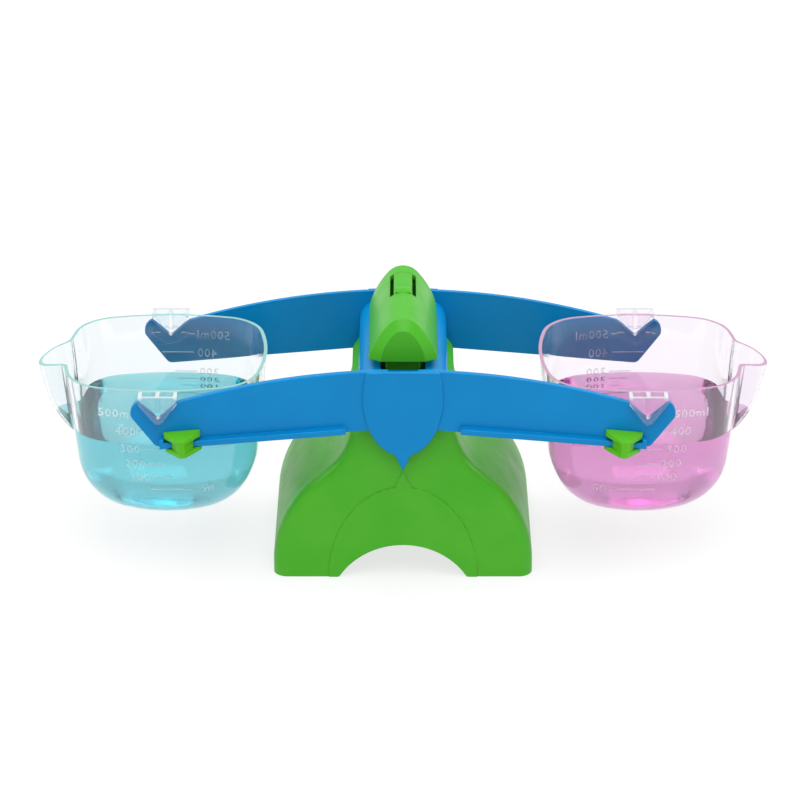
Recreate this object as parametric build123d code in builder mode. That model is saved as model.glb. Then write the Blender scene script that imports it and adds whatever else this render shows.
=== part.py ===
from build123d import *
from math import atan2, cos, hypot, pi, radians, sin, sqrt, tan
import os

# A classroom bucket balance: a bell-shaped stand, a beam of four arms that
# tilts on two knife edges, and two clear buckets that hang in notches.
# Millimetres, Z up. X runs along the beam and the front is towards -Y. Each
# piece is drawn about the middle plane of the stand. The origin is on the table,
# under the middle of the whole balance, and the stand is set back from it.

# Shared clearances
overrun = 1.0              # how far a cut reaches past the face it opens
running_gap = 0.3          # between pieces that move past each other
plug_gap = 0.1             # between pieces that plug together

# Beam, with heights from its knife edges
arm_face = 56.1            # outer face of an arm, from the middle plane
arm_thickness = 3.0
arm_crown_rise = 13.5      # top of the beam at its middle
arm_top_radius = 403.0     # the arms' tops are one long arc
arm_foot_fall = 19.2       # bottom line of an arm, carried on to X = 0
arm_foot_drop = 0.0863     # fall of that line for each length outwards
arm_root = 8.0             # inner end of an arm, behind the shield
notch_reach = 130.0        # middle of the notch that carries a bucket
notch_fall = 14.0          # its bottom
notch_half_width = 10.5
arm_tip = (14.6, 4.4)      # outermost point of an arm, from the notch's bottom
arm_tip_foot = (14.1, 0.4)       # where the round tip meets the slanted end
arm_heel = 1.6                   # where that end meets the bottom line, past the notch
arm_heel_radius = 4.0
arm_edge_radius = 0.5

# Rail on an arm's outer face
rail_start = 30.5
rail_notch_gap = 0.4       # the rail stops this far short of the notch's middle
rail_depth = 4.0
rail_height = 3.3
rail_radius = 0.5
stop_length = 2.3
stop_height = 5.4

# Shield over the arm roots
shield_half_width = 21.6
shield_half_height = 34.0
shield_fall = 2.0          # centre of its oval, below the knife edges
shield_proud = 1.0
shield_edge_radius = 0.6
pointer_half_width = 4.9
pointer_shoulder_fall = 33.8
pointer_length = 10.9

# Hub saddle
hub_half_width = 24.0
hub_deck_rise = 7.0        # above the knife edges
hub_depth = 16.0           # from the deck to the lower edge of its side walls
hub_wall = 2.5
hub_shoulder_radius = 9.0
window_half_width = 12.0
window_half_length = 40.0
window_radius = 2.5
peg_radius = 2.0
peg_spacing = 14.0
peg_rise = 8.0
peg_fall = 1.0             # middle of the peg pattern, below the knife edges

# Knife edges and bearings
knife_start = 41.5         # from the middle plane
knife_length = 8.0
knife_half_width = 2.5
knife_half_angle = 30.0
knife_cheek = 2.0
knife_cheek_depth = 2.0
groove_half_angle = 55.0
groove_gap = 0.2
bearing_rise = 1.4         # of its top above the knife edges
bearing_half_width = 7.0
bearing_length = 9.0

# Stand
base_half_width = 70.5
base_half_depth = 50.0
base_top = 98.6
base_wall = 2.5
base_belly_radius = 64.0   # lower, outward arc of the side
base_belly_start = 6.8
base_belly_turn = 48.0     # degrees that the side leans in between its two arcs
base_waist_half_width = 28.0
base_waist_drop = 8.1      # from the tower's top to the end of the upper, inward arc
base_edge_radius = 7.5     # front and rear edges of the sides
base_shoulder = 3.5        # bevel along each side of the tower's top
arch_half_width = 34.8
arch_height = 19.5
arch_foot_radius = 2.0     # where the arch runs out on the table
panel_half_width = 40.4
panel_height = 54.3
panel_proud = 0.5
mark_half_width = 4.4
mark_gap = 3.4             # between the pointer's tip and the mark's
rib_thickness = 2.0
rib_station = 24.0
rib_bottom = 60.0

# Post and cap
pedestal_half_width = 14.0
pedestal_height = 7.4
pedestal_radius = 2.0
pedestal_flange = 2.0
knife_rise = 6.0           # of the knife edges above the pedestal
post_half_width = 9.3
post_half_length = 34.0
post_height = 24.0
post_edge_radius = 1.0
post_wall = 2.7
cap_half_width = 18.4
cap_half_length = 36.8
cap_skirt = 5.8                     # that the cap hangs down past the post's top
cap_height = 23.2
cap_crown_share = 0.57              # radius of the round crown, of the half width
cap_crown_turn = 48.0               # degrees that the crown turns down to each side arc
cap_nose = 4.0                      # length of each sloping end
cap_nose_half_width = 12.0
cap_nose_drop = 5.5
cap_wall = 2.2
cap_rib_station = 31.0
slot_width = 2.0
tab_half_width = 5.0
tab_front = -1.0
tab_rear = 27.5
tab_gap = 0.4
ledge_length = 10.5
ledge_rise = 1.5
ledge_front = 1.2
ledge_side = 0.8
hook_front = 0.5
hook_thickness = 2.0
hook_half_width = 4.0
barb_reach = 1.9
barb_height = 2.2
hook_slot_front = -0.2
hook_slot_rear = 6.5

# Slider
slider_stop_gap = 0.6               # from its side to the stop at rest
slider_half_width = 9.7
slider_web_half_width = 6.8
slider_depth = 12.3
slider_side = 2.0
slider_top = 8.5
slider_top_thickness = 3.3
slider_slope = 1.8
slider_bottom_thickness = 2.0
slider_nose_half_width = 1.5
slider_hook = 1.2
slider_hook_rise = 2.4
slider_bend_shares = (0.50, 0.52)   # a point of the hollow side, of width and depth

# Bucket
bucket_inset = 0.9         # its middle from the notch's, which levels it when empty
bucket_height = 85.0
bucket_rim_rise = 11.9     # of the rim above the ribs that it hangs by
bucket_half_length = 55.2
bucket_half_width = 51.5
bucket_wall = 1.9
bucket_draft = 8.4         # that the walls draw in from rim to floor
bucket_side_turn = 13.0    # degrees that each long side bows through, each way
bucket_corner_radius = 26.0
bilge_height = 32.0        # of the round turn from wall to floor
bilge_reach = 24.0         # and its reach along the floor
bilge_steps = 5
floor_side_turn = 34.0
floor_corner_radius = 16.0
spout_centre = 43.0        # from the bucket's middle
spout_half_width = 17.5
spout_tip = 71.0
spout_root_radius = 5.0
spout_lip_drop = 7.2
spout_lip_start = 44.0     # of the dip, from the bucket's middle
spout_lip_lead = 0.2       # of the dip's start above the rim, so that it cuts the rim cleanly
# depth below the rim and reach and width left there, of the spout's own sizes
spout_depths = (0, 22.5, 35.5, 43.5, 49.5)
spout_reach_shares = (1.0, 0.82, 0.64, 0.446, 0.22)
spout_width_shares = (1.0, 0.78, 0.56, 0.40, 0.22)

# Hanger of a bucket
hanger_rib_radius = 1.1
hanger_half_width = 10.3
hanger_flange = 2.0
hanger_flange_gap = 1.9
hanger_side_height = 3.7
hanger_tip_fall = 6.0      # below the rib
hanger_tip_radius = 3.0
hanger_ear = 2.0
hanger_ear_height = 2.0
pad_half_width = 9.3
pad_height = 17.5
pad_gap = 0.8

# Heights worked out from the sizes above
pedestal_top = base_top + pedestal_height
pivot_height = pedestal_top + knife_rise
bearing_top = pivot_height + bearing_rise
arm_crown = pivot_height + arm_crown_rise
arm_foot = pivot_height - arm_foot_fall
notch_bottom = pivot_height - notch_fall
shield_height = pivot_height - shield_fall
pointer_shoulder = pivot_height - pointer_shoulder_fall
pointer_tip = pointer_shoulder - pointer_length
mark_tip = pointer_tip - mark_gap
hub_deck = pivot_height + hub_deck_rise
hub_hem = hub_deck - hub_depth
peg_height = pivot_height - peg_fall
post_top = pedestal_top + post_height
post_cavity_top = post_top - post_wall
cap_bottom = post_top - cap_skirt
cap_apex = cap_bottom + cap_height
cap_nose_apex = cap_apex - cap_nose_drop

# Places worked out from the sizes above
setback = (slider_depth - rail_depth) / 2     # middle plane of the stand, behind the origin
arm_back = arm_face - arm_thickness
shield_boss_half_width = arm_root - plug_gap
rail_end = notch_reach - rail_notch_gap
slider_rest = rail_end - stop_length - slider_stop_gap - slider_half_width
notch_top = arm_crown - arm_top_radius + sqrt(
    arm_top_radius ** 2 - (notch_reach - notch_half_width) ** 2
)
notch_half_angle = atan2(notch_half_width, notch_top - notch_bottom)
hang_height = notch_bottom + (hanger_rib_radius + running_gap) / sin(notch_half_angle)
bucket_centre = notch_reach - bucket_inset
bucket_rim = hang_height + bucket_rim_rise
bucket_bottom = bucket_rim - bucket_height
pad_bottom = bucket_rim - pad_height
hanger_side = bucket_rim - hanger_side_height
hanger_tip = hang_height - hanger_tip_fall


def arm_foot_at(reach):
    """Height of an arm's bottom line at a distance from the middle."""
    return arm_foot - arm_foot_drop * reach


def arm_top_at(reach):
    """Height of an arm's top arc at a distance from the middle."""
    return arm_crown - arm_top_radius + sqrt(arm_top_radius ** 2 - reach ** 2)


def save(piece, name, *mirrors):
    """Mirrors a finished piece in each plane, sets it in the frame and writes its file."""
    copy = piece.part
    for plane in mirrors:
        copy = copy.mirror(plane)
    copy = copy.moved(Location((0, setback, 0)))
    with BuildPart() as placed:
        add(copy)
    placed.part.label = name
    export_step(placed.part, "parts/" + name + ".step")


def build_arm():
    """The front right arm, with its notch, rail and end stop."""
    with BuildPart() as arm:
        with BuildSketch(Plane.XZ.offset(arm_back)) as outline:
            with BuildLine():
                notch_inner = (notch_reach - notch_half_width, notch_top)
                notch_outer = (notch_reach + notch_half_width, notch_top)
                middle = (arm_root + notch_reach - notch_half_width) / 2
                tip = (notch_reach + arm_tip[0], notch_bottom + arm_tip[1])
                tip_foot = (notch_reach + arm_tip_foot[0], notch_bottom + arm_tip_foot[1])
                heel = (notch_reach + arm_heel, arm_foot_at(notch_reach + arm_heel))
                ThreePointArc(
                    (arm_root, arm_top_at(arm_root)),
                    (middle, arm_top_at(middle)),
                    notch_inner,
                )
                Line(notch_inner, (notch_reach, notch_bottom))
                Line((notch_reach, notch_bottom), notch_outer)
                ThreePointArc(notch_outer, tip, tip_foot)
                Line(tip_foot, heel)
                Line(heel, (arm_root, arm_foot_at(arm_root)))
                Line((arm_root, arm_foot_at(arm_root)), (arm_root, arm_top_at(arm_root)))
            make_face()
            fillet(outline.vertices().sort_by(Axis.Y)[0], arm_heel_radius)
        extrude(amount=arm_thickness)
        top_edges = (
            arm.faces().sort_by(Axis.Y)[0].edges().filter_by(GeomType.CIRCLE).sort_by(Axis.Z)
        )
        fillet(top_edges[-1], arm_edge_radius)

        with BuildSketch(Plane.XZ.offset(arm_face)):
            Polygon(
                (rail_start, arm_foot_at(rail_start)),
                (rail_end, arm_foot_at(rail_end)),
                (rail_end, arm_foot_at(rail_end) + rail_height),
                (rail_start, arm_foot_at(rail_start) + rail_height),
                align=None,
            )
        extrude(amount=rail_depth)
        with BuildSketch(Plane.XZ.offset(arm_face)):
            Polygon(
                (rail_end - stop_length, arm_foot_at(rail_end - stop_length)),
                (rail_end, arm_foot_at(rail_end)),
                (rail_end, arm_foot_at(rail_end) + stop_height),
                (rail_end - stop_length, arm_foot_at(rail_end - stop_length) + stop_height),
                align=None,
            )
        extrude(amount=rail_depth)
        fillet(arm.faces().sort_by(Axis.Y)[0].edges(), rail_radius)

        with BuildSketch(Plane.XZ.offset(arm_back)):
            with Locations((peg_spacing, peg_height)):
                with GridLocations(0, peg_rise, 1, 2):
                    Circle(peg_radius + plug_gap)
        extrude(amount=arm_thickness, mode=Mode.SUBTRACT)
    return arm


def build_shield():
    """The front oval plate with its pointer, and the boss between the arm roots."""
    with BuildPart() as shield:
        with BuildSketch(Plane.XZ.offset(arm_face)):
            with Locations((0, shield_height)):
                Ellipse(shield_half_width, shield_half_height)
            with Locations((0, arm_crown - arm_top_radius)):
                Circle(arm_top_radius, mode=Mode.INTERSECT)
            Polygon(
                (-pointer_half_width, pointer_shoulder),
                (pointer_half_width, pointer_shoulder),
                (0, pointer_tip),
                align=None,
            )
        extrude(amount=shield_proud)
        front_edges = shield.faces().sort_by(Axis.Y)[0].edges()
        chamfer(front_edges, shield_edge_radius)

        with BuildSketch(Plane.XZ.offset(arm_back)):
            with Locations((0, shield_height)):
                Ellipse(shield_half_width, shield_half_height)
            Polygon(
                (-pointer_half_width, pointer_shoulder),
                (pointer_half_width, pointer_shoulder),
                (0, pointer_tip),
                align=None,
            )
            with BuildLine():
                low = arm_foot_at(shield_half_width) - plug_gap
                high = arm_foot_at(arm_root) - plug_gap
                Polyline(
                    (-shield_half_width, pointer_tip - overrun),
                    (shield_half_width, pointer_tip - overrun),
                    (shield_half_width, low),
                    (shield_boss_half_width, high),
                    (shield_boss_half_width, hub_deck),
                    (-shield_boss_half_width, hub_deck),
                    (-shield_boss_half_width, high),
                    (-shield_half_width, low),
                    close=True,
                )
            make_face(mode=Mode.INTERSECT)
        extrude(amount=arm_thickness)

        with BuildSketch(Plane.XZ.offset(arm_back)):
            with Locations((0, peg_height)):
                with GridLocations(0, peg_rise, 1, 2):
                    Circle(peg_radius + plug_gap)
        extrude(amount=arm_thickness, mode=Mode.SUBTRACT)
    return shield


def hub_section(inset):
    """Arched section of the saddle, drawn inset from its outer face."""
    half_width = hub_half_width - inset
    deck = hub_deck - inset
    bottom = hub_hem - (overrun if inset else 0)
    with BuildSketch() as section:
        with BuildLine():
            Polyline(
                (-half_width, bottom),
                (half_width, bottom),
                (half_width, deck),
                (-half_width, deck),
                close=True,
            )
        make_face()
        fillet(section.vertices().group_by(Axis.Y)[-1], hub_shoulder_radius - inset)
    return section.sketch


def build_hub():
    """The saddle that joins the arms: a deck with a window, two sides and two ends."""
    with BuildPart() as hub:
        with BuildSketch(Plane.XZ):
            add(hub_section(0))
        extrude(amount=arm_back, both=True)
        with BuildSketch(Plane.XZ):
            add(hub_section(hub_wall))
        extrude(amount=arm_back - hub_wall, both=True, mode=Mode.SUBTRACT)
        with BuildSketch(Plane.XY.offset(hub_deck)):
            RectangleRounded(2 * window_half_width, 2 * window_half_length, window_radius)
        extrude(amount=-2 * hub_wall, mode=Mode.SUBTRACT)

        # Pegs that carry the arms and the shields
        for side in (1, -1):
            with BuildSketch(Plane.XZ.offset(side * arm_back)):
                with Locations((0, peg_height)):
                    with GridLocations(peg_spacing, peg_rise, 3, 2):
                        Circle(peg_radius)
            extrude(amount=side * (arm_thickness - plug_gap))

        # Cheeks under the deck that hold the knife edges
        for side in (1, -1):
            with BuildSketch(Plane.XZ.offset(side * knife_start)):
                with Locations((0, hub_deck - hub_wall)):
                    Rectangle(
                        2 * (knife_half_width + knife_cheek),
                        knife_cheek_depth,
                        align=(Align.CENTER, Align.MAX),
                    )
                    Rectangle(
                        2 * knife_half_width,
                        knife_cheek_depth,
                        align=(Align.CENTER, Align.MAX),
                        mode=Mode.SUBTRACT,
                    )
            extrude(amount=side * knife_length)
    return hub


def build_knife():
    """The front knife edge, a bar whose lower edge is the beam's pivot."""
    shoulder = pivot_height + knife_half_width / tan(radians(knife_half_angle))
    with BuildPart() as knife:
        with BuildSketch(Plane.XZ.offset(knife_start)):
            Polygon(
                (0, pivot_height),
                (knife_half_width, shoulder),
                (knife_half_width, hub_deck - hub_wall),
                (-knife_half_width, hub_deck - hub_wall),
                (-knife_half_width, shoulder),
                align=None,
            )
        extrude(amount=knife_length)
    return knife


def build_bearing():
    """The front bearing block, with the V groove that the knife rests in."""
    groove_bottom = pivot_height - groove_gap
    groove_top = bearing_top + overrun
    groove_half_width = (groove_top - groove_bottom) * tan(radians(groove_half_angle))
    with BuildPart() as bearing:
        with BuildSketch(Plane.XZ.offset(knife_start + (knife_length - bearing_length) / 2)):
            with Locations((0, pedestal_top)):
                Rectangle(
                    2 * bearing_half_width,
                    bearing_top - pedestal_top,
                    align=(Align.CENTER, Align.MIN),
                )
            Polygon(
                (0, groove_bottom),
                (groove_half_width, groove_top),
                (-groove_half_width, groove_top),
                align=None,
                mode=Mode.SUBTRACT,
            )
        extrude(amount=bearing_length)
    return bearing


def base_outline():
    """Bell-shaped outline of the stand, from the front."""
    turn = radians(base_belly_turn)
    belly_end = (
        base_half_width - base_belly_radius * (1 - cos(turn)),
        base_belly_start + base_belly_radius * sin(turn),
    )
    waist_end = (base_waist_half_width, base_top - base_waist_drop)
    rise = waist_end[1] - belly_end[1]
    reach = belly_end[0] - waist_end[0]
    waist_radius = (rise * sin(turn) - reach * cos(turn)) / (1 - cos(turn))
    waist_start = (
        waist_end[0] + waist_radius * (1 - cos(turn)),
        waist_end[1] - waist_radius * sin(turn),
    )
    with BuildSketch() as outline:
        with BuildLine() as side:
            Line((base_half_width, 0), (base_half_width, base_belly_start))
            TangentArc((base_half_width, base_belly_start), belly_end, tangent=(0, 1))
            Line(belly_end, waist_start)
            TangentArc(waist_end, waist_start, tangent=(0, -1))
            Line(waist_end, (base_waist_half_width, base_top))
            mirror(side.line, about=Plane.YZ)
            Line((-base_half_width, 0), (base_half_width, 0))
            Line((-base_waist_half_width, base_top), (base_waist_half_width, base_top))
        make_face()
        chamfer(outline.vertices().group_by(Axis.Y)[-1], base_shoulder)
    return outline.sketch


def base_hollow(outline):
    """The space inside the stand, open at the table."""
    with BuildPart() as hollow:
        with BuildSketch(Plane.XZ):
            with BuildSketch(mode=Mode.PRIVATE) as cavity:
                add(outline)
                offset(amount=-base_wall, kind=Kind.INTERSECTION)
                Rectangle(2 * (base_half_width - base_wall), 2 * base_belly_start)
            add(cavity.sketch)
        extrude(amount=base_half_depth - base_wall, both=True)
        side_edges = (
            hollow.faces()
            .filter_by(Axis.Y)
            .edges()
            .filter_by_position(
                Axis.Z, -base_belly_start + overrun, base_top - base_shoulder - base_wall - overrun
            )
        )
        fillet(side_edges, base_edge_radius - base_wall)
    return hollow.part


def build_base():
    """The stand: a shell open below, with an arch and a raised panel front and rear."""
    outline = base_outline()
    hollow = base_hollow(outline)
    with BuildPart() as base:
        with BuildSketch(Plane.XZ):
            add(outline)
        extrude(amount=base_half_depth, both=True)
        side_edges = (
            base.faces()
            .filter_by(Axis.Y)
            .edges()
            .filter_by_position(Axis.Z, overrun, base_top - base_shoulder - overrun)
        )
        fillet(side_edges, base_edge_radius)

        # Raised panel, a half oval with a reading mark
        for side in (1, -1):
            with BuildSketch(Plane.XZ.offset(side * base_half_depth)):
                Ellipse(panel_half_width, panel_height)
                Polygon(
                    (-mark_half_width, 0),
                    (-mark_half_width, panel_height),
                    (0, mark_tip),
                    (mark_half_width, panel_height),
                    (mark_half_width, 0),
                    align=None,
                )
                with Locations((0, -panel_height)):
                    Rectangle(2 * base_half_width, 2 * panel_height, mode=Mode.SUBTRACT)
            extrude(amount=side * panel_proud)

        add(hollow, mode=Mode.SUBTRACT)

        # Arches through both ends
        arch_radius = (arch_half_width ** 2 + arch_height ** 2) / (2 * arch_height)
        with BuildSketch(Plane.XZ):
            with Locations((0, arch_height - arch_radius)):
                Circle(arch_radius)
        extrude(amount=base_half_depth + overrun, both=True, mode=Mode.SUBTRACT)
        arch_feet = base.edges().filter_by(Axis.Y).filter_by_position(Axis.Z, 0, 0)
        fillet(
            arch_feet.filter_by(lambda edge: abs(edge.center().X) < arch_half_width + overrun),
            arch_foot_radius,
        )

        # Ribs that carry the tower's top
        for station in (rib_station, -rib_station):
            with BuildSketch(Plane.XZ.offset(station - rib_thickness / 2)):
                with BuildSketch(mode=Mode.PRIVATE) as web:
                    add(outline)
                    offset(amount=-base_wall / 2, kind=Kind.INTERSECTION)
                    with Locations((0, rib_bottom)):
                        Rectangle(
                            2 * base_half_width,
                            base_top,
                            align=(Align.CENTER, Align.MIN),
                            mode=Mode.INTERSECT,
                        )
                add(web.sketch)
            extrude(amount=rib_thickness)

        # Socket for the post
        with BuildSketch(Plane.XY.offset(base_top)):
            Rectangle(
                2 * (pedestal_half_width - pedestal_flange),
                2 * (base_half_depth - base_edge_radius),
            )
        extrude(amount=-base_wall - overrun, mode=Mode.SUBTRACT)
    return base


def build_post():
    """The pedestal and the hollow post that the cap clips onto."""
    socket_half_width = pedestal_half_width - pedestal_flange - plug_gap
    socket_half_length = base_half_depth - base_edge_radius - plug_gap
    with BuildPart() as post:
        with BuildSketch(Plane.XY.offset(base_top)):
            Rectangle(2 * pedestal_half_width, 2 * (base_half_depth - plug_gap))
        extrude(amount=pedestal_top - base_top)
        fillet(post.edges().filter_by(Axis.Z), pedestal_radius)
        with BuildSketch(Plane.XY.offset(base_top - base_wall)):
            Rectangle(2 * socket_half_width, 2 * socket_half_length)
        extrude(amount=base_wall)
        with BuildSketch(Plane.XY.offset(pedestal_top)):
            Rectangle(2 * post_half_width, 2 * post_half_length)
        extrude(amount=post_top - pedestal_top)
        fillet(
            post.edges().filter_by(Axis.Z).filter_by(lambda edge: edge.center().Z > pedestal_top),
            post_edge_radius,
        )
        with BuildSketch(Plane.XY.offset(base_top - base_wall)):
            Rectangle(2 * (post_half_width - post_wall), 2 * (post_half_length - post_wall))
        extrude(amount=post_cavity_top - base_top + base_wall, mode=Mode.SUBTRACT)

        # Slot that the cap's hook drops through
        with BuildSketch(Plane.XY.offset(post_top)):
            with Locations((0, (hook_slot_front + hook_slot_rear) / 2)):
                Rectangle(
                    2 * (hook_half_width + 2 * running_gap),
                    hook_slot_rear - hook_slot_front,
                )
        extrude(amount=-post_wall - overrun, mode=Mode.SUBTRACT)
    return post


def cap_section(half_width, apex, inset=0.0):
    """Pointed arch with a round crown, two tangent arcs a side, inset from its outer face."""
    turn = radians(cap_crown_turn)
    crown_radius = cap_crown_share * half_width
    rise = apex - crown_radius - cap_bottom
    # The side arc's centre lies so far past the crown's that the arc ends at the foot
    spread = (half_width ** 2 + rise ** 2 - crown_radius ** 2) / (
        2 * (crown_radius - half_width * sin(turn) + rise * cos(turn))
    )
    outward = Vector(sin(turn), cos(turn))
    crown_centre = Vector(0, apex - crown_radius)
    side_centre = crown_centre - outward * spread
    side_radius = crown_radius + spread - inset
    join = crown_centre + outward * (crown_radius - inset)
    foot = (
        side_centre.X + sqrt(side_radius ** 2 - (side_centre.Y - cap_bottom) ** 2),
        cap_bottom,
    )
    with BuildSketch() as section:
        with BuildLine() as line:
            Line((0, cap_bottom), foot)
            TangentArc(join, foot, tangent=(cos(turn), -sin(turn)))
            TangentArc((0, apex - inset), join, tangent=(1, 0))
            mirror(line.line, about=Plane.YZ)
        make_face()
    return section.sketch


def cap_shell(part_inset):
    """Solid of the cap, inset from its outer face."""
    with BuildPart() as shell:
        with BuildSketch(Plane.XZ):
            add(cap_section(cap_half_width, cap_apex, part_inset))
        extrude(amount=cap_half_length, both=True)
        for side in (1, -1):
            with BuildSketch(Plane.XZ.offset(side * cap_half_length)):
                add(cap_section(cap_half_width, cap_apex, part_inset))
            with BuildSketch(Plane.XZ.offset(side * (cap_half_length + cap_nose - part_inset))):
                add(cap_section(cap_nose_half_width, cap_nose_apex, part_inset))
            loft(ruled=True)
    return shell.part


def build_cap(outer, inner):
    """The cover: an arched shell with a window for its latch and ribs that seat it."""
    with BuildPart() as cap:
        add(outer)
        add(inner, mode=Mode.SUBTRACT)

        # Ribs that straddle the post and rest on its top
        for station in (cap_rib_station, -cap_rib_station):
            with BuildSketch(Plane.XZ.offset(station - rib_thickness / 2)):
                add(cap_section(cap_half_width, cap_apex, cap_wall / 2))
                with Locations((0, cap_bottom)):
                    Rectangle(
                        2 * (post_half_width + plug_gap),
                        2 * (post_top - cap_bottom),
                        mode=Mode.SUBTRACT,
                    )
            extrude(amount=rib_thickness)

        # Window that holds the latch and its two slots
        with BuildSketch(Plane.XY.offset(cap_apex + overrun)):
            with Locations((0, (tab_front - running_gap + tab_rear) / 2)):
                Rectangle(
                    2 * (tab_half_width + slot_width),
                    tab_rear - tab_front + running_gap,
                )
        extrude(amount=cap_bottom - cap_apex, mode=Mode.SUBTRACT)
    return cap


def build_latch(outer, inner):
    """The springy tab in the cap's roof, with its finger ledge and its hook."""
    tab_length = tab_rear - tab_gap - tab_front
    roof = cap_apex - cap_wall
    with BuildPart() as latch:
        with BuildSketch(Plane.XY.offset(cap_apex + overrun)):
            with Locations((0, tab_front + tab_length / 2)):
                Rectangle(2 * tab_half_width, tab_length)
        extrude(amount=cap_bottom - cap_apex)
        add(outer, mode=Mode.INTERSECT)
        add(inner, mode=Mode.SUBTRACT)

        # Finger ledge, rising towards the free end
        with BuildSketch(Plane.YZ.offset(-tab_half_width + ledge_side)):
            with BuildLine():
                Spline(
                    (tab_front + ledge_length, roof),
                    (tab_front + ledge_length / 2, cap_apex + ledge_rise / 2),
                    (tab_front + ledge_front, cap_apex + ledge_rise / 2),
                )
                Polyline(
                    (tab_front + ledge_front, cap_apex + ledge_rise / 2),
                    (tab_front, cap_apex),
                    (tab_front, roof),
                    (tab_front + ledge_length, roof),
                )
            make_face()
        extrude(amount=2 * (tab_half_width - ledge_side))

        # Hook that catches under the post's top
        barb_top = post_cavity_top - running_gap
        with BuildSketch(Plane.YZ.offset(-hook_half_width)):
            Polygon(
                (hook_front, roof),
                (hook_front, barb_top),
                (hook_front - barb_reach, barb_top),
                (hook_front, barb_top - barb_height),
                (hook_front + hook_thickness, barb_top - barb_height),
                (hook_front + hook_thickness, roof),
                align=None,
            )
        extrude(amount=2 * hook_half_width)
    return latch


def slider_outline(half_width, start):
    """Arrowhead plan of a slider, with hollow sides, pointing away from the arm."""
    nose = slider_nose_half_width
    bend = (
        nose + slider_bend_shares[0] * (half_width - nose),
        -slider_side - slider_bend_shares[1] * (slider_depth - slider_side),
    )
    with BuildSketch() as plan:
        with BuildLine() as line:
            Line((0, -start), (half_width, -start))
            Line((half_width, -start), (half_width, -slider_side))
            ThreePointArc((half_width, -slider_side), bend, (nose, -slider_depth))
            Line((nose, -slider_depth), (0, -slider_depth))
            mirror(line.line, about=Plane.YZ)
        make_face()
    return plan.sketch


def build_slider():
    """The right compensator, a clip that wraps the rail and hooks behind the arm."""
    rail_fall = hypot(1, arm_foot_drop)
    along = Vector(1 / rail_fall, 0, -arm_foot_drop / rail_fall)
    up = Vector(arm_foot_drop / rail_fall, 0, 1 / rail_fall)
    seat = Plane(
        origin=(slider_rest, -arm_face, arm_foot_at(slider_rest)),
        x_dir=along,
        z_dir=up,
    )
    end_view = Plane(origin=seat.origin, x_dir=(0, -1, 0), z_dir=-along)
    bottom = -running_gap - slider_bottom_thickness
    with BuildPart() as slider:
        with BuildSketch(seat.offset(bottom)):
            add(slider_outline(slider_half_width, running_gap))
        extrude(amount=slider_bottom_thickness)
        with BuildSketch(seat.offset(bottom)):
            add(slider_outline(slider_web_half_width, running_gap))
        extrude(amount=slider_top - bottom)
        with BuildSketch(seat.offset(slider_top - slider_top_thickness)):
            add(slider_outline(slider_half_width, running_gap))
        extrude(amount=slider_top_thickness)

        # The top falls towards the nose
        with BuildSketch(end_view):
            Polygon(
                (0, slider_top),
                (slider_depth + overrun, slider_top - slider_slope),
                (slider_depth + overrun, slider_top + overrun),
                (0, slider_top + overrun),
                align=None,
            )
        extrude(amount=slider_half_width + overrun, both=True, mode=Mode.SUBTRACT)

        # Hook under the arm and behind it
        hook_back = arm_thickness + running_gap + slider_hook
        with BuildSketch(end_view):
            Polygon(
                (rail_depth, bottom),
                (rail_depth, -running_gap),
                (-arm_thickness - running_gap, -running_gap),
                (-arm_thickness - running_gap, slider_hook_rise),
                (-hook_back, slider_hook_rise),
                (-hook_back, bottom),
                align=None,
            )
        extrude(amount=slider_web_half_width, both=True)

        # Channel for the rail
        with BuildSketch(end_view):
            Polygon(
                (0, -running_gap),
                (rail_depth + running_gap, -running_gap),
                (rail_depth + running_gap, rail_height + running_gap),
                (0, rail_height + running_gap),
                align=None,
            )
        extrude(amount=slider_half_width + overrun, both=True, mode=Mode.SUBTRACT)
    return slider


def bucket_section(half_length, half_width, side_turn, corner_radius):
    """Oblong with bowed sides and round corners, each arc tangent to the next."""
    bow = sin(radians(side_turn))
    sag = 1 - cos(radians(side_turn))
    long_reach = half_length - corner_radius
    wide_reach = half_width - corner_radius
    corner = Vector(
        (long_reach * bow - wide_reach * sag) * bow / (bow ** 2 - sag ** 2),
        (wide_reach * bow - long_reach * sag) * bow / (bow ** 2 - sag ** 2),
    )
    end_point = corner + Vector(1 - sag, bow) * corner_radius
    side_point = corner + Vector(bow, 1 - sag) * corner_radius
    middle = corner + Vector(1, 1).normalized() * corner_radius
    with BuildSketch() as section:
        with BuildLine():
            for side in (1, -1):
                ThreePointArc(
                    (side * end_point.X, -end_point.Y),
                    (side * half_length, 0),
                    (side * end_point.X, end_point.Y),
                )
                ThreePointArc(
                    (-side_point.X, side * side_point.Y),
                    (0, side * half_width),
                    (side_point.X, side * side_point.Y),
                )
                for end in (1, -1):
                    ThreePointArc(
                        (end * end_point.X, side * end_point.Y),
                        (end * middle.X, side * middle.Y),
                        (end * side_point.X, side * side_point.Y),
                    )
        make_face()
    return section.sketch


def bucket_level(inset, rise, draw_in, side_turn, corner_radius):
    """Section of the bucket's body at a height above its floor."""
    taper = draw_in + bucket_draft * (1 - rise / bucket_height) + inset
    level = bucket_bottom + inset + rise * (bucket_height - inset) / bucket_height
    section = bucket_section(
        bucket_half_length - taper,
        bucket_half_width - taper,
        side_turn,
        corner_radius - inset,
    )
    return Pos(bucket_centre, 0, level) * section


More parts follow.
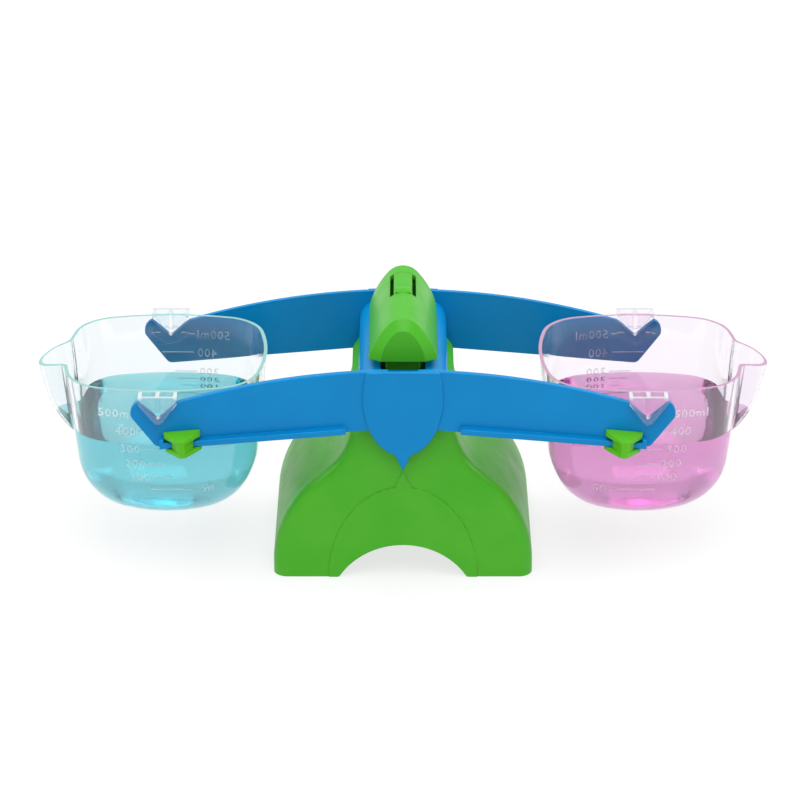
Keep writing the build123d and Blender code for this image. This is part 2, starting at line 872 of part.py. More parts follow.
def bucket_body(inset):
    """Solid of the bucket without its spout, inset from its outer face."""
    bilge = []
    for step in range(bilge_steps + 1):
        turn = pi / 2 * step / bilge_steps
        bilge.append(bucket_level(
            inset,
            bilge_height * (1 - cos(turn)),
            bilge_reach * (1 - sin(turn)),
            floor_side_turn + (bucket_side_turn - floor_side_turn) * sin(turn),
            floor_corner_radius + (bucket_corner_radius - floor_corner_radius) * sin(turn),
        ))
    top = bucket_height + (overrun if inset else 0)
    wall = [bilge[-1], bucket_level(inset, top, 0, bucket_side_turn, bucket_corner_radius)]
    with BuildPart() as body:
        loft(bilge)
        loft(wall, ruled=True)
    return body.part


def bucket_spout(inset):
    """Solid of the spout, a channel that narrows down the bucket's end."""
    reach = spout_tip - spout_centre
    with BuildPart() as spout:
        for depth, reach_share, width_share in zip(
            spout_depths, spout_reach_shares, spout_width_shares
        ):
            level = bucket_rim - depth
            if inset and depth == 0:
                level = bucket_rim + overrun
            with BuildSketch(Plane((bucket_centre + spout_centre, 0, level))):
                Ellipse(reach_share * reach - inset, width_share * spout_half_width - inset)
        loft()
    return spout.part


def bucket_form(inset):
    """Body and spout in one, with the lip dipped towards the tip and the root rounded."""
    top = bucket_rim + (overrun if inset else 0)
    lip_start = (bucket_centre + spout_lip_start, top + spout_lip_lead)
    lip_end = (bucket_centre + spout_tip + overrun, top - spout_lip_drop)
    with BuildPart() as form:
        add(bucket_body(inset))
        body_edges = form.edges()
        add(bucket_spout(inset))
        with BuildSketch(Plane.XZ):
            with BuildLine():
                TangentArc(lip_start, lip_end, tangent=(1, 0))
                Polyline(
                    lip_end,
                    (lip_end[0], top + overrun),
                    (lip_start[0], top + overrun),
                    lip_start,
                )
            make_face()
        extrude(amount=bucket_half_width, both=True, mode=Mode.SUBTRACT)
        root_edges = (
            (form.edges() - body_edges)
            .filter_by(GeomType.BSPLINE)
            .filter_by_position(Axis.Z, bucket_bottom, bucket_rim - overrun)
            .filter_by_position(Axis.X, bucket_centre, bucket_centre + bucket_half_length)
        )
        fillet(root_edges, spout_root_radius)
    return form.part


def build_bucket():
    """The right bucket: body, spout and the two hangers, in one clear moulding."""
    with BuildPart() as bucket:
        add(bucket_form(0))

        # Hangers, front and rear
        for side in (1, -1):
            pad_face = arm_back - pad_gap
            flange_back = arm_face + hanger_flange_gap
            flange_face = flange_back + hanger_flange
            wall_inside = bucket_half_width - bucket_wall - overrun
            with BuildSketch(Plane.XZ.offset(side * wall_inside)):
                with Locations((notch_reach, (bucket_rim + pad_bottom + pad_half_width) / 2)):
                    Rectangle(2 * pad_half_width, bucket_rim - pad_bottom - pad_half_width)
                with Locations((notch_reach, pad_bottom + pad_half_width)):
                    Circle(pad_half_width)
                with Locations((notch_reach, bucket_rim + pad_half_width / 2)):
                    Rectangle(2 * pad_half_width, pad_half_width, mode=Mode.SUBTRACT)
            extrude(amount=side * (pad_face - wall_inside))
            with BuildSketch(Plane.XZ.offset(side * wall_inside)):
                with Locations((notch_reach, (bucket_rim + hang_height) / 2)):
                    Rectangle(2 * hanger_rib_radius, bucket_rim - hang_height)
                with Locations((notch_reach, hang_height)):
                    Circle(hanger_rib_radius)
            extrude(amount=side * (flange_face - wall_inside))
            with BuildSketch(Plane.XZ.offset(side * wall_inside)):
                with Locations((notch_reach, bucket_rim - hanger_ear_height / 2)):
                    with GridLocations(2 * hanger_half_width - hanger_ear, 0, 2, 1):
                        Rectangle(hanger_ear, hanger_ear_height)
            extrude(amount=side * (flange_face - wall_inside))
            with BuildSketch(Plane.XZ.offset(side * flange_back)) as flange:
                with Locations((notch_reach, 0)):
                    Polygon(
                        (-hanger_half_width, bucket_rim),
                        (-hanger_half_width, hanger_side),
                        (0, hanger_tip),
                        (hanger_half_width, hanger_side),
                        (hanger_half_width, bucket_rim),
                        align=None,
                    )
                fillet(flange.vertices().sort_by(Axis.Y)[0], hanger_tip_radius)
            extrude(amount=side * hanger_flange)

        add(bucket_form(bucket_wall), mode=Mode.SUBTRACT)
    return bucket


os.makedirs("parts", exist_ok=True)

save(build_base(), "base_shell")
save(build_post(), "pivot_post")

cap_outer = cap_shell(0)
cap_inner = cap_shell(cap_wall)
save(build_cap(cap_outer, cap_inner), "cap")
save(build_latch(cap_outer, cap_inner), "cap_latch")

save(build_hub(), "hub_saddle")

arm_piece = build_arm()
save(arm_piece, "front_right_arm")
save(arm_piece, "front_left_arm", Plane.YZ)
save(arm_piece, "rear_right_arm", Plane.XZ)
save(arm_piece, "rear_left_arm", Plane.XZ, Plane.YZ)

for build, name in ((build_shield, "shield"), (build_knife, "knife"), (build_bearing, "bearing")):
    front_piece = build()
    save(front_piece, "front_" + name)
    save(front_piece, "rear_" + name, Plane.XZ)

for build, name in ((build_slider, "slider"), (build_bucket, "bucket")):
    right_piece = build()
    save(right_piece, "right_" + name)
    save(right_piece, "left_" + name, Plane.YZ)
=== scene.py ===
import math

import bmesh
import bpy
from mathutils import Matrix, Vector
from mathutils.bvhtree import BVHTree


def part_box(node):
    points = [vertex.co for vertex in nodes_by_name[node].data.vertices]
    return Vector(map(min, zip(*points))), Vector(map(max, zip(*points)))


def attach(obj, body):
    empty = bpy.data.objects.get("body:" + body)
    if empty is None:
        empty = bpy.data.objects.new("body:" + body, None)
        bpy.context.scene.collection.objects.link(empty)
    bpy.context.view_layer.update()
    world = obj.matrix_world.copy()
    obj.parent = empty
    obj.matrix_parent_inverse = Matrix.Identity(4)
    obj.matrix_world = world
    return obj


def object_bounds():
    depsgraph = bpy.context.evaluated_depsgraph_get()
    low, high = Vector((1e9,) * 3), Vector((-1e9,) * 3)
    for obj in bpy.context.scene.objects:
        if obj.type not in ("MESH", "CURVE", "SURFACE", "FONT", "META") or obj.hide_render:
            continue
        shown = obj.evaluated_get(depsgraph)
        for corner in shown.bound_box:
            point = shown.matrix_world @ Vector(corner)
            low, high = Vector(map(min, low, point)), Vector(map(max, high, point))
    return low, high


# A classroom bucket balance with coloured water in its two clear buckets. The
# CAD nodes keep their shapes and get their materials here; the water and the
# raised measuring marks are pieces of this script.

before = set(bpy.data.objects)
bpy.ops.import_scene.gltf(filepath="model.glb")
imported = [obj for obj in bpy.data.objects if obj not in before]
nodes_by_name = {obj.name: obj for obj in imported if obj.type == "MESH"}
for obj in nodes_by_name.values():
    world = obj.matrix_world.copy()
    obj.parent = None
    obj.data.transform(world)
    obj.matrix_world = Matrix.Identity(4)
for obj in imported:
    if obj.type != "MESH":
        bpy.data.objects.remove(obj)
cad_low, cad_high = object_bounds()
mm = 0.001


def middle_of(node):
    """Middle of a CAD node's box."""
    low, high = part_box(node)
    return (Vector(low) + Vector(high)) / 2


beam_middle = middle_of("hub_saddle")


# Colours, as linear red, green and blue

def from_screen(red, green, blue):
    """Linear colour of a screen colour given as 0 to 255."""
    linear = []
    for value in (red, green, blue):
        share = value / 255
        linear.append(share / 12.92 if share <= 0.04045 else ((share + 0.055) / 1.055) ** 2.4)
    return (*linear, 1.0)


green_colour = (0.042, 0.335, 0.006, 1.0)
# lighter green for flow marks, and for edges lightened partly as rubbed wear and partly as a
# painted highlight
green_worn_and_highlit = (0.17, 0.52, 0.04, 1.0)
slider_colour = (0.075, 0.390, 0.004, 1.0)
blue_colour = (0.0, 0.185, 0.45, 1.0)
# lighter blue for flow marks, and for edges lightened partly as rubbed wear and partly as a
# painted highlight
blue_worn_and_highlit = (0.0, 0.34, 0.75, 1.0)
white_colour = from_screen(238, 238, 232)
steel_colour = from_screen(196, 198, 202)
aqua_wall = (0.92, 0.95, 0.97, 1.0)
# painted glow: the rim's colour, partly the plastic's own tint and partly light gathered along
# the wall's edge
aqua_rim_glow = (0.29, 0.58, 0.55, 1.0)
pink_wall = (0.96, 0.92, 0.97, 1.0)
# painted glow: the rim's colour, partly the plastic's own tint and partly light gathered along
# the wall's edge
pink_rim_glow = (0.55, 0.32, 0.48, 1.0)
# painted light: pale grey on the hangers' top faces, in place of how the clear plastic shows
# there
hanger_top_light = (0.62, 0.65, 0.67, 1.0)
aqua_surface = (0.45, 0.86, 0.89, 1.0)
aqua_water = (0.16, 0.74, 0.79, 1.0)
aqua_density = 14.0         # how strongly the water takes up light
pink_surface = (0.90, 0.60, 0.83, 1.0)
pink_water = (0.74, 0.19, 0.59, 1.0)
pink_density = 9.0
wall_density = 60.0         # and the walls of the buckets


# Materials

plastic_index = 1.45
water_index = 1.33
moulded_edge = 0.5 * mm     # radius that catches light along the edges of mouldings, and the width of the painted highlight along them
rim_from = 98.0 * mm        # height above which upward faces are the rim or a hanger's top
rim_reach = 51.6 * mm       # how far from the middle plane the rim reaches
rim_fade = 0.2 * mm


class Finish:
    """A material with one shader, and the nodes that its maker adds."""

    def __init__(self, name):
        self.material = bpy.data.materials.new(name)
        self.material.use_nodes = True
        self.tree = self.material.node_tree
        self.tree.nodes.clear()
        self.output = self.add("ShaderNodeOutputMaterial")
        self.shader = self.add("ShaderNodeBsdfPrincipled")
        self.link(self.shader.outputs["BSDF"], self.output.inputs["Surface"])
        self.place = self.add("ShaderNodeTexCoord").outputs["Object"]

    def add(self, kind, **settings):
        """Adds a node and sets its properties."""
        node = self.tree.nodes.new(kind)
        for key, value in settings.items():
            setattr(node, key, value)
        return node

    def link(self, source, target):
        """Joins an output to an input."""
        self.tree.links.new(source, target)

    def set(self, **values):
        """Sets sockets of the shader, with underscores for spaces."""
        for key, value in values.items():
            self.shader.inputs[key.replace("_", " ")].default_value = value

    def noise(self, scale, detail=2.0, stretch=None):
        """Noise over the object's own place, with cells about 1/scale metres wide."""
        texture = self.add("ShaderNodeTexNoise")
        texture.inputs["Scale"].default_value = scale
        texture.inputs["Detail"].default_value = detail
        source = self.place
        if stretch:
            mapping = self.add("ShaderNodeMapping")
            mapping.inputs["Scale"].default_value = stretch
            self.link(source, mapping.inputs["Vector"])
            source = mapping.outputs["Vector"]
        self.link(source, texture.inputs["Vector"])
        return texture.outputs["Fac"]

    def ramp(self, source, low, high, dark=0.0, light=1.0):
        """Stretches a value between two levels."""
        node = self.add("ShaderNodeMapRange")
        node.inputs["From Min"].default_value = low
        node.inputs["From Max"].default_value = high
        node.inputs["To Min"].default_value = dark
        node.inputs["To Max"].default_value = light
        self.link(source, node.inputs["Value"])
        return node.outputs["Result"]

    def times(self, first, second):
        """Product of two values, each an output or a number."""
        node = self.add("ShaderNodeMath", operation="MULTIPLY")
        for socket, value in zip(node.inputs, (first, second)):
            if isinstance(value, float):
                socket.default_value = value
            else:
                self.link(value, socket)
        return node.outputs["Value"]

    def mix(self, share, first, second):
        """Colour between two colours, by a share."""
        node = self.add("ShaderNodeMix", data_type="RGBA")
        self.link(share, node.inputs["Factor"])
        for socket, value in zip((node.inputs[6], node.inputs[7]), (first, second)):
            if isinstance(value, tuple):
                socket.default_value = value
            else:
                self.link(value, socket)
        return node.outputs[2]

    def bump(self, height, depth, normal=None, strength=1.0):
        """Normal of a surface whose height varies by a depth."""
        node = self.add("ShaderNodeBump")
        node.inputs["Strength"].default_value = strength
        node.inputs["Distance"].default_value = depth
        self.link(height, node.inputs["Height"])
        if normal:
            self.link(normal, node.inputs["Normal"])
        return node.outputs["Normal"]

    def edge(self, radius):
        """Normal with rounded edges, and how far a place is on an edge."""
        bevel = self.add("ShaderNodeBevel", samples=4)
        bevel.inputs["Radius"].default_value = radius
        flat = self.add("ShaderNodeNewGeometry").outputs["Normal"]
        dot = self.add("ShaderNodeVectorMath", operation="DOT_PRODUCT")
        self.link(bevel.outputs["Normal"], dot.inputs[0])
        self.link(flat, dot.inputs[1])
        return bevel.outputs["Normal"], self.ramp(dot.outputs["Value"], 1.0, 0.8)


def moulded_plastic(name, colour, worn_and_highlit_colour, roughness, gloss):
    """Glossy moulded plastic: faint flow marks, fine grain, and edges lightened partly as rubbed
    wear and partly as a painted highlight.
    """
    finish = Finish(name)
    rounded, on_edge = finish.edge(moulded_edge)
    blotch = finish.ramp(finish.noise(30, 3.0), 0.35, 0.7, 0.0, 0.12)
    edge_patchiness = finish.ramp(finish.noise(260, 4.0), 0.42, 0.62)
    # painted highlight: edges are lightened towards the lighter colour, partly as rubbed wear and
    # partly to stand for light catching them
    rubbed_and_highlit = finish.times(finish.times(on_edge, edge_patchiness), 0.8)
    flowed = finish.mix(blotch, colour, worn_and_highlit_colour)
    finish.link(finish.mix(rubbed_and_highlit, flowed, worn_and_highlit_colour), finish.shader.inputs["Base Color"])
    finish.link(
        finish.ramp(finish.noise(90, 4.0), 0.3, 0.7, roughness - 0.05, roughness + 0.07),
        finish.shader.inputs["Roughness"],
    )
    waves = finish.bump(finish.noise(24, 1.0), 0.08 * mm, rounded)
    grain = finish.bump(finish.noise(1500, 2.0), 0.02 * mm, waves, 0.5)
    finish.link(grain, finish.shader.inputs["Normal"])
    finish.set(IOR=1.5, Specular_IOR_Level=gloss, Coat_Weight=0.06, Coat_Roughness=0.15)
    return finish.material


def acetal(name):
    """Dense white bearing plastic."""
    finish = Finish(name)
    finish.link(
        finish.mix(finish.noise(120, 3.0), white_colour, from_screen(222, 222, 214)),
        finish.shader.inputs["Base Color"],
    )
    finish.link(
        finish.ramp(finish.noise(400, 2.0), 0.3, 0.7, 0.42, 0.55),
        finish.shader.inputs["Roughness"],
    )
    finish.link(
        finish.bump(finish.noise(1800), 0.015 * mm),
        finish.shader.inputs["Normal"],
    )
    return finish.material


def ground_steel(name):
    """Steel with the fine lines of grinding."""
    finish = Finish(name)
    lines = finish.noise(900, 3.0, stretch=(1.0, 0.04, 1.0))
    finish.link(
        finish.mix(lines, steel_colour, from_screen(150, 152, 156)),
        finish.shader.inputs["Base Color"],
    )
    finish.link(finish.ramp(lines, 0.3, 0.7, 0.22, 0.4), finish.shader.inputs["Roughness"])
    finish.link(finish.bump(lines, 0.01 * mm), finish.shader.inputs["Normal"])
    finish.set(Metallic=1.0)
    return finish.material


def tinted_by_depth(finish, colour, density):
    """Colours a clear material by the length that light goes through it."""
    volume = finish.add("ShaderNodeVolumeAbsorption")
    volume.inputs["Color"].default_value = colour
    volume.inputs["Density"].default_value = density
    finish.link(volume.outputs["Volume"], finish.output.inputs["Volume"])


def clear_plastic(name, colour, rim_glow_colour):
    """Clear moulding with faint haze and scratches, a rim whose tint is deepened as a painted
    glow of light gathered along the wall, and painted pale light on the hangers' tops.
    """
    finish = Finish(name)
    # Upward faces above a height are the rim, or a hanger's top if further out; they get painted
    # light, the rim a deeper tint (partly the plastic's own, partly a glow of light gathered
    # along the wall) and a hanger's top a pale grey, both letting less light through
    facing = finish.add("ShaderNodeSeparateXYZ")
    finish.link(finish.add("ShaderNodeNewGeometry").outputs["Normal"], facing.inputs[0])
    place = finish.add("ShaderNodeSeparateXYZ")
    finish.link(finish.place, place.inputs[0])
    off_middle = finish.add("ShaderNodeMath", operation="SUBTRACT")
    off_middle.inputs[1].default_value = beam_middle.y
    finish.link(place.outputs["Y"], off_middle.inputs[0])
    reach = finish.add("ShaderNodeMath", operation="ABSOLUTE")
    finish.link(off_middle.outputs["Value"], reach.inputs[0])
    on_rim = finish.times(
        finish.ramp(facing.outputs["Z"], 0.5, 0.9),
        finish.ramp(place.outputs["Z"], rim_from, rim_from + 1.0 * mm),
    )
    on_body = finish.ramp(reach.outputs["Value"], rim_reach + rim_fade, rim_reach)
    top_painted_light = finish.mix(on_body, hanger_top_light, rim_glow_colour)
    finish.link(finish.mix(on_rim, colour, top_painted_light), finish.shader.inputs["Base Color"])
    finish.link(
        finish.ramp(on_rim, 0.0, 1.0, 0.98, 0.3),
        finish.shader.inputs["Transmission Weight"],
    )
    haze = finish.ramp(finish.noise(70, 4.0), 0.4, 0.75, 0.0, 0.06)
    scratches = finish.ramp(finish.noise(700, 5.0, stretch=(1.0, 1.0, 0.1)), 0.62, 0.7, 0.0, 0.05)
    total = finish.add("ShaderNodeMath", operation="ADD")
    finish.link(haze, total.inputs[0])
    finish.link(scratches, total.inputs[1])
    finish.link(total.outputs["Value"], finish.shader.inputs["Roughness"])
    finish.link(
        finish.bump(finish.noise(45, 1.0), 0.12 * mm),
        finish.shader.inputs["Normal"],
    )
    finish.set(IOR=plastic_index, Specular_IOR_Level=0.25)
    tinted_by_depth(finish, colour, wall_density)
    return finish.material


def frosted_marks(name, colour):
    """Raised marks of the same plastic, with a matt face."""
    finish = Finish(name)
    finish.link(
        finish.mix(finish.noise(900, 2.0), (1.0, 1.0, 1.0, 1.0), colour),
        finish.shader.inputs["Base Color"],
    )
    finish.link(
        finish.ramp(finish.noise(1200, 2.0), 0.3, 0.7, 0.3, 0.5),
        finish.shader.inputs["Roughness"],
    )
    finish.set(IOR=1.49, Transmission_Weight=0.75)
    return finish.material


def coloured_water(name, surface, colour, density):
    """Still water with food colour, and the faintest ripple."""
    finish = Finish(name)
    finish.link(
        finish.bump(finish.noise(14, 1.0), 0.15 * mm),
        finish.shader.inputs["Normal"],
    )
    finish.set(Base_Color=surface, Roughness=0.0, IOR=water_index, Transmission_Weight=0.98)
    tinted_by_depth(finish, colour, density)
    return finish.material


floor_glow = 0.74


def pale_floor(name):
    """White sheet, lit softly from below as on a light table."""
    finish = Finish(name)
    finish.link(
        finish.mix(finish.noise(3, 2.0), (0.20, 0.20, 0.20, 1.0), (0.22, 0.22, 0.22, 1.0)),
        finish.shader.inputs["Base Color"],
    )
    finish.set(Roughness=0.9, Specular_IOR_Level=0.0)
    finish.set(Emission_Color=(1.0, 1.0, 1.0, 1.0), Emission_Strength=floor_glow)
    return finish.material


green = moulded_plastic("green_plastic", green_colour, green_worn_and_highlit, 0.4, 0.25)
slider_green = moulded_plastic("slider_plastic", slider_colour, green_worn_and_highlit, 0.42, 0.2)
blue = moulded_plastic("blue_plastic", blue_colour, blue_worn_and_highlit, 0.35, 0.12)
materials_by_slot = {
    "stand_green": green,
    "slider_green": slider_green,
    "beam_blue": blue,
    "bearing_white": acetal("bearing_acetal"),
    "knife_steel": ground_steel("knife_steel_ground"),
    "bucket_aqua": clear_plastic("clear_aqua", aqua_wall, aqua_rim_glow),
    "bucket_pink": clear_plastic("clear_pink", pink_wall, pink_rim_glow),
}


def finish_cad_nodes():
    """Gives every CAD node the material of its slot in the record."""
    green_nodes = ("base_shell", "pivot_post", "cap", "cap_latch")
    for name, node in nodes_by_name.items():
        if name in green_nodes:
            slot = "stand_green"
        elif "slider" in name:
            slot = "slider_green"
        elif "bearing" in name:
            slot = "bearing_white"
        elif "knife" in name:
            slot = "knife_steel"
        elif name == "left_bucket":
            slot = "bucket_aqua"
        elif name == "right_bucket":
            slot = "bucket_pink"
        else:
            slot = "beam_blue"
        for place in node.material_slots:
            place.material = materials_by_slot[slot]


finish_cad_nodes()


# Helpers for new pieces

def tree_of(node):
    """Search tree of a CAD node's faces, for casting rays at it."""
    mesh = node.data
    corners = [vertex.co.copy() for vertex in mesh.vertices]
    faces = [tuple(face.vertices) for face in mesh.polygons]
    return BVHTree.FromPolygons(corners, faces)


def object_from(name, mesh_data, material, body):
    """Makes a bmesh into a piece that rides on a body."""
    mesh = bpy.data.meshes.new(name)
    mesh_data.to_mesh(mesh)
    mesh_data.free()
    piece = bpy.data.objects.new(name, mesh)
    bpy.context.scene.collection.objects.link(piece)
    mesh.materials.append(material)
    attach(piece, body)
    return piece


# Water

water_level = 78.4 * mm
body_half = 55.0 * mm       # from a bucket's inner end to the middle of its body
meniscus_rise = 0.08 * mm
meniscus_width = 0.8 * mm
slope_share = 0.6           # where the meniscus bends, as a share of its width
slope_fall = 0.35           # and how much lower it is there, as a share of its rise
water_overlap = 0.15 * mm   # into the wall, so that no air shows between them
water_directions = 160
water_rings = 30


def water_in(bucket, material):
    """Fills a bucket to the level, by casting rays at its inside."""
    tree = tree_of(nodes_by_name[bucket])
    low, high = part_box(bucket)
    # The bucket's own middle, without its spout
    side = 1 if low[0] > 0 else -1
    inner_end = low[0] if side > 0 else high[0]
    centre = Vector((inner_end + side * body_half, beam_middle.y, water_level))
    data = bmesh.new()

    def reach(origin, direction):
        """Where a ray from inside meets the wall, a little past its face."""
        hit, _, _, distance = tree.ray_cast(origin, direction)
        if hit is None:
            raise RuntimeError(bucket + " has no wall in one direction")
        return origin + direction * (distance + water_overlap)

    def ring(make_point):
        """One closed ring of vertices, a point for each direction."""
        points = []
        for step in range(water_directions):
            turn = 2 * math.pi * step / water_directions
            points.append(data.verts.new(make_point(turn)))
        return points

    def skin(upper, lower):
        """Faces between two rings."""
        for step in range(water_directions):
            following = (step + 1) % water_directions
            data.faces.new((upper[step], lower[step], lower[following], upper[following]))

    def fan(points, middle, facing_up):
        """Faces from a ring to one point."""
        hub = data.verts.new(middle)
        for step in range(water_directions):
            following = (step + 1) % water_directions
            corners = (points[step], points[following], hub)
            data.faces.new(corners if facing_up else corners[::-1])

    def inward(turn, width=meniscus_width):
        """On the level water, a width away from the wall."""
        flat = Vector((math.cos(turn), math.sin(turn), 0))
        return reach(centre, flat) - flat * width

    def level_middle(turn):
        """Far enough from the meniscus for the water to look flat."""
        return inward(turn, 2 * meniscus_width)

    def raised(turn):
        """Where the meniscus meets the wall."""
        flat = Vector((math.cos(turn), math.sin(turn), 0))
        return reach(centre + Vector((0, 0, meniscus_rise)), flat)

    def halfway(turn):
        """On the slope of the meniscus."""
        between = inward(turn).lerp(raised(turn), slope_share)
        return between - Vector((0, 0, meniscus_rise * slope_fall))

    middle_edge = ring(level_middle)
    fan(middle_edge, centre, True)
    foot = ring(inward)
    skin(middle_edge, foot)
    slope = ring(halfway)
    skin(foot, slope)
    last = ring(raised)
    skin(slope, last)
    waterline = set(last)
    for level in range(water_rings):
        fall = math.pi / 2 * (level + 0.5) / water_rings

        def downward(turn):
            """On the wall below the water's level."""
            direction = Vector((
                math.cos(turn) * math.cos(fall),
                math.sin(turn) * math.cos(fall),
                -math.sin(fall),
            ))
            return reach(centre, direction)

        following = ring(downward)
        skin(last, following)
        last = following
    fan(last, reach(centre, Vector((0, 0, -1))), False)
    bmesh.ops.recalc_face_normals(data, faces=data.faces)
    for face in data.faces:
        face.smooth = True
    for edge in data.edges:
        edge.smooth = not waterline.issuperset(edge.verts)
    object_from(bucket.replace("bucket", "water"), data, material, bucket)


aqua = coloured_water("water_aqua", aqua_surface, aqua_water, aqua_density)
pink = coloured_water("water_pink", pink_surface, pink_water, pink_density)
water_in("left_bucket", aqua)
water_in("right_bucket", pink)


# Measuring marks

mark_raise = 0.35 * mm
mark_sink = 0.1 * mm
mark_letter = 6.9 * mm
mark_spacing = 1.12
mark_drop = 0.35            # from a mark's line down to its text's foot, in letters
mark_line = 0.5 * mm
mark_line_step = 2.5 * mm
clear_of_wall = 200 * mm    # how far before a wall the rays at it start
# Each mark: what it says, its height, where its text starts and from where to
# where its line runs, in mm from the middle of the balance
spout_side_marks = (
    ("500ml", 97.6, 144.5, (138.5, 143.0)),
    ("400", 86.8, 143.0, (134.0, 141.5)),
    ("300", 75.8, 141.0, (131.0, 139.5)),
    ("200", 66.8, 138.5, (128.0, 137.0)),
    ("100", 58.6, 136.0, (124.0, 134.5)),
    ("50", 50.5, 102.5, (113.0, 136.0)),
)
inner_side_marks = (
    ("500ml", 100.6, 96.5, (116.5, 141.0)),
    ("400", 89.8, 104.0, (117.0, 135.0)),
    ("300", 78.6, 103.0, (115.5, 128.0)),
    ("200", 69.0, 103.0, (115.5, 126.0)),
    ("100", 60.0, 103.0, (115.0, 124.0)),
    ("50", 51.5, 103.0, (111.5, 135.0)),
)


def flat_text(words):
    """Triangles of a text, as flat corners and faces, with its left foot at 0."""
    curve = bpy.data.curves.new("mark_text", "FONT")
    curve.body = words
    curve.size = mark_letter
    curve.space_character = mark_spacing
    curve.resolution_u = 2
    holder = bpy.data.objects.new("mark_text", curve)
    mesh = bpy.data.meshes.new_from_object(holder)
    corners = [vertex.co.copy() for vertex in mesh.vertices]
    faces = [tuple(face.vertices) for face in mesh.polygons]
    bpy.data.objects.remove(holder)
    bpy.data.curves.remove(curve)
    bpy.data.meshes.remove(mesh)
    return corners, faces


def flat_line(start, end):
    """A thin flat strip, with enough corners to follow a curved wall."""
    steps = max(2, round(abs(end - start) / mark_line_step))
    corners = []
    for step in range(steps + 1):
        across = start + (end - start) * step / steps
        corners.append(Vector((across, -mark_line / 2, 0)))
        corners.append(Vector((across, mark_line / 2, 0)))
    faces = []
    for step in range(steps):
        foot = 2 * step
        faces.append((foot, foot + 2, foot + 3, foot + 1))
    return corners, faces


def marks_on(bucket, wall, marks, material):
    """Raised marks on a bucket's front or rear wall, readable from outside."""
    tree = tree_of(nodes_by_name[bucket])
    side = 1 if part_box(bucket)[0][0] > 0 else -1
    facing = -1 if wall == "front" else 1
    data = bmesh.new()

    def on_wall(across, height, raise_by):
        """A place on the outer wall, raised from its face."""
        origin = Vector((across, beam_middle.y + facing * clear_of_wall, height))
        hit, normal, _, _ = tree.ray_cast(origin, Vector((0, -facing, 0)))
        if hit is None:
            raise RuntimeError(bucket + " has no wall under a mark")
        outward = normal if normal.y * facing > 0 else -normal
        return hit + outward * raise_by

    def press(corners, faces, place):
        """Raises flat faces on the wall, with their edges turned down to it."""
        outer = [data.verts.new(on_wall(*place(corner), mark_raise)) for corner in corners]
        inner = [data.verts.new(on_wall(*place(corner), -mark_sink)) for corner in corners]
        edges = set()
        for face in faces:
            data.faces.new([outer[index] for index in face])
            edges.update(zip(face, face[1:] + face[:1]))
        for first, second in sorted(edges):
            if (second, first) not in edges:
                data.faces.new((outer[second], outer[first], inner[first], inner[second]))

    for words, height, text_start, (line_start, line_end) in marks:
        corners, faces = flat_text(words)
        width = max(corner.x for corner in corners)
        middle = side * text_start * mm + side * width / 2

        def place_text(corner):
            """Across and up the wall, in the direction that reads from outside."""
            across = middle - facing * (corner.x - width / 2)
            return across, height * mm + corner.y - mark_letter * mark_drop

        def place_line(corner):
            """Across and up the wall, at the mark's height."""
            return corner.x, height * mm + corner.y

        press(corners, faces, place_text)
        press(*flat_line(side * line_start * mm, side * line_end * mm), place_line)
    bmesh.ops.recalc_face_normals(data, faces=data.faces)
    return object_from(bucket + "_" + wall + "_marks", data, material, bucket)


def mark_both_buckets():
    """Marks on the front and rear wall of each bucket."""
    for bucket, slot, colour in (
        ("left_bucket", "bucket_aqua", aqua_wall),
        ("right_bucket", "bucket_pink", pink_wall),
    ):
        frosted = frosted_marks(bucket + "_marks", colour)
        for wall, marks in (("front", spout_side_marks), ("rear", inner_side_marks)):
            marks_on(bucket, wall, marks, frosted)


mark_both_buckets()


# Floor, light and camera

floor_half = 12.0
floor_gap = 0.2 * mm        # below the stand, so that their faces stay apart
horizon_light = 0.85
overhead_light = 1.1
horizon_band = 0.5          # upward part of a direction at which the sky starts to brighten
overhead_band = 0.9         # and at which it is brightest
lamp_aim = Vector((0, 0, 0.08))
camera_back = 1.641         # in front of the beam's middle, in metres
camera_height = 0.848
camera_down = 25            # degrees below level
camera_lens = 148.6
camera_shift = -0.00375
light_bounces = 40


def make_floor():
    """A wide plain sheet under the object."""
    data = bmesh.new()
    turns = ((-1, -1), (1, -1), (1, 1), (-1, 1))
    corners = [(across * floor_half, back * floor_half, 0) for across, back in turns]
    data.faces.new([data.verts.new(corner) for corner in corners])
    mesh = bpy.data.meshes.new("floor")
    data.to_mesh(mesh)
    data.free()
    floor = bpy.data.objects.new("floor", mesh)
    floor.location.z = cad_low.z - floor_gap
    bpy.context.scene.collection.objects.link(floor)
    mesh.materials.append(pale_floor("floor_paper"))


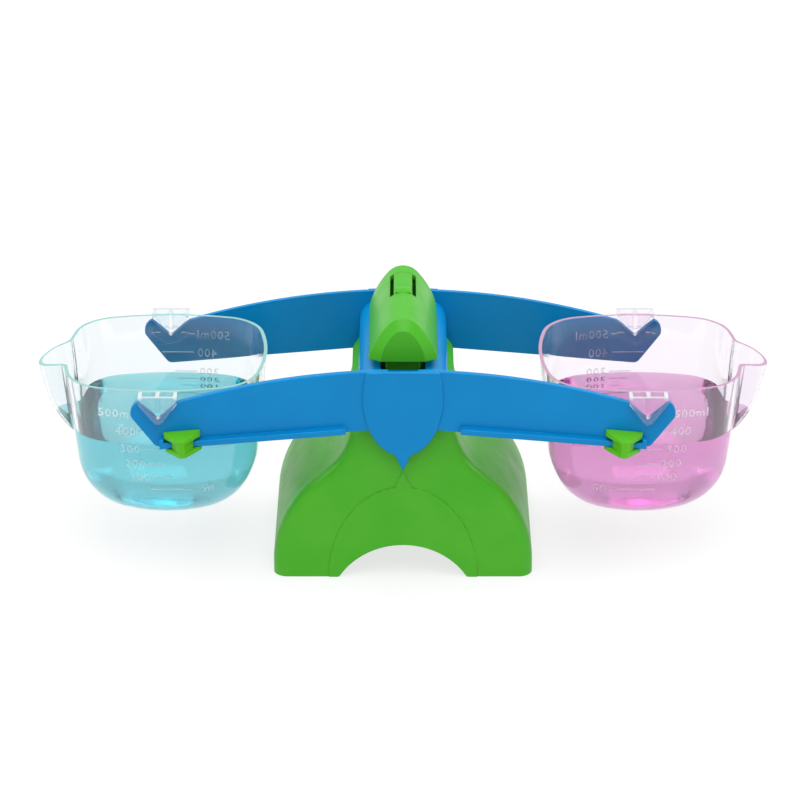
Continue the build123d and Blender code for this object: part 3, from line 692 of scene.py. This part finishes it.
def make_world():
    """White surroundings, dim near the horizon and bright overhead."""
    world = bpy.data.worlds.new("studio")
    world.use_nodes = True
    tree = world.node_tree
    tree.nodes.clear()
    output = tree.nodes.new("ShaderNodeOutputWorld")
    background = tree.nodes.new("ShaderNodeBackground")
    background.inputs["Color"].default_value = (1.0, 1.0, 1.0, 1.0)
    direction = tree.nodes.new("ShaderNodeSeparateXYZ")
    tree.links.new(tree.nodes.new("ShaderNodeTexCoord").outputs["Generated"], direction.inputs[0])
    strength = tree.nodes.new("ShaderNodeMapRange")
    strength.interpolation_type = "SMOOTHSTEP"
    strength.inputs["From Min"].default_value = horizon_band
    strength.inputs["From Max"].default_value = overhead_band
    strength.inputs["To Min"].default_value = horizon_light
    strength.inputs["To Max"].default_value = overhead_light
    tree.links.new(direction.outputs["Z"], strength.inputs["Value"])
    tree.links.new(strength.outputs["Result"], background.inputs["Strength"])
    tree.links.new(background.outputs["Background"], output.inputs["Surface"])
    bpy.context.scene.world = world


def soft_light(name, place, size, power):
    """A large square light that faces the object."""
    light = bpy.data.lights.new(name, "AREA")
    light.size = size
    light.energy = power
    lamp = bpy.data.objects.new(name, light)
    lamp.location = place
    aim = lamp_aim - Vector(place)
    lamp.rotation_mode = "QUATERNION"
    lamp.rotation_quaternion = aim.to_track_quat("-Z", "Y")
    bpy.context.scene.collection.objects.link(lamp)


def make_camera():
    """The photograph's view, from in front and above."""
    camera_data = bpy.data.cameras.new("camera")
    camera_data.sensor_width = 36
    camera_data.lens = camera_lens
    camera_data.shift_x = camera_shift
    camera_data.clip_start = 0.05
    camera_data.clip_end = 50
    camera = bpy.data.objects.new("camera", camera_data)
    camera.location = (0, beam_middle.y - camera_back, camera_height)
    camera.rotation_euler = (math.radians(90 - camera_down), 0, 0)
    bpy.context.scene.collection.objects.link(camera)
    bpy.context.scene.camera = camera


make_floor()
make_world()
soft_light("top_light", (0.1, -0.9, 2.0), 1.6, 26)
soft_light("left_light", (-1.6, 0.3, 0.9), 0.8, 12)
soft_light("right_light", (1.6, 0.3, 0.9), 0.8, 12)
make_camera()
scene = bpy.context.scene
scene.view_settings.view_transform = "Standard"
# Light bounces many times between the walls of a bucket and its water
scene.cycles.max_bounces = light_bounces
scene.cycles.transmission_bounces = light_bounces
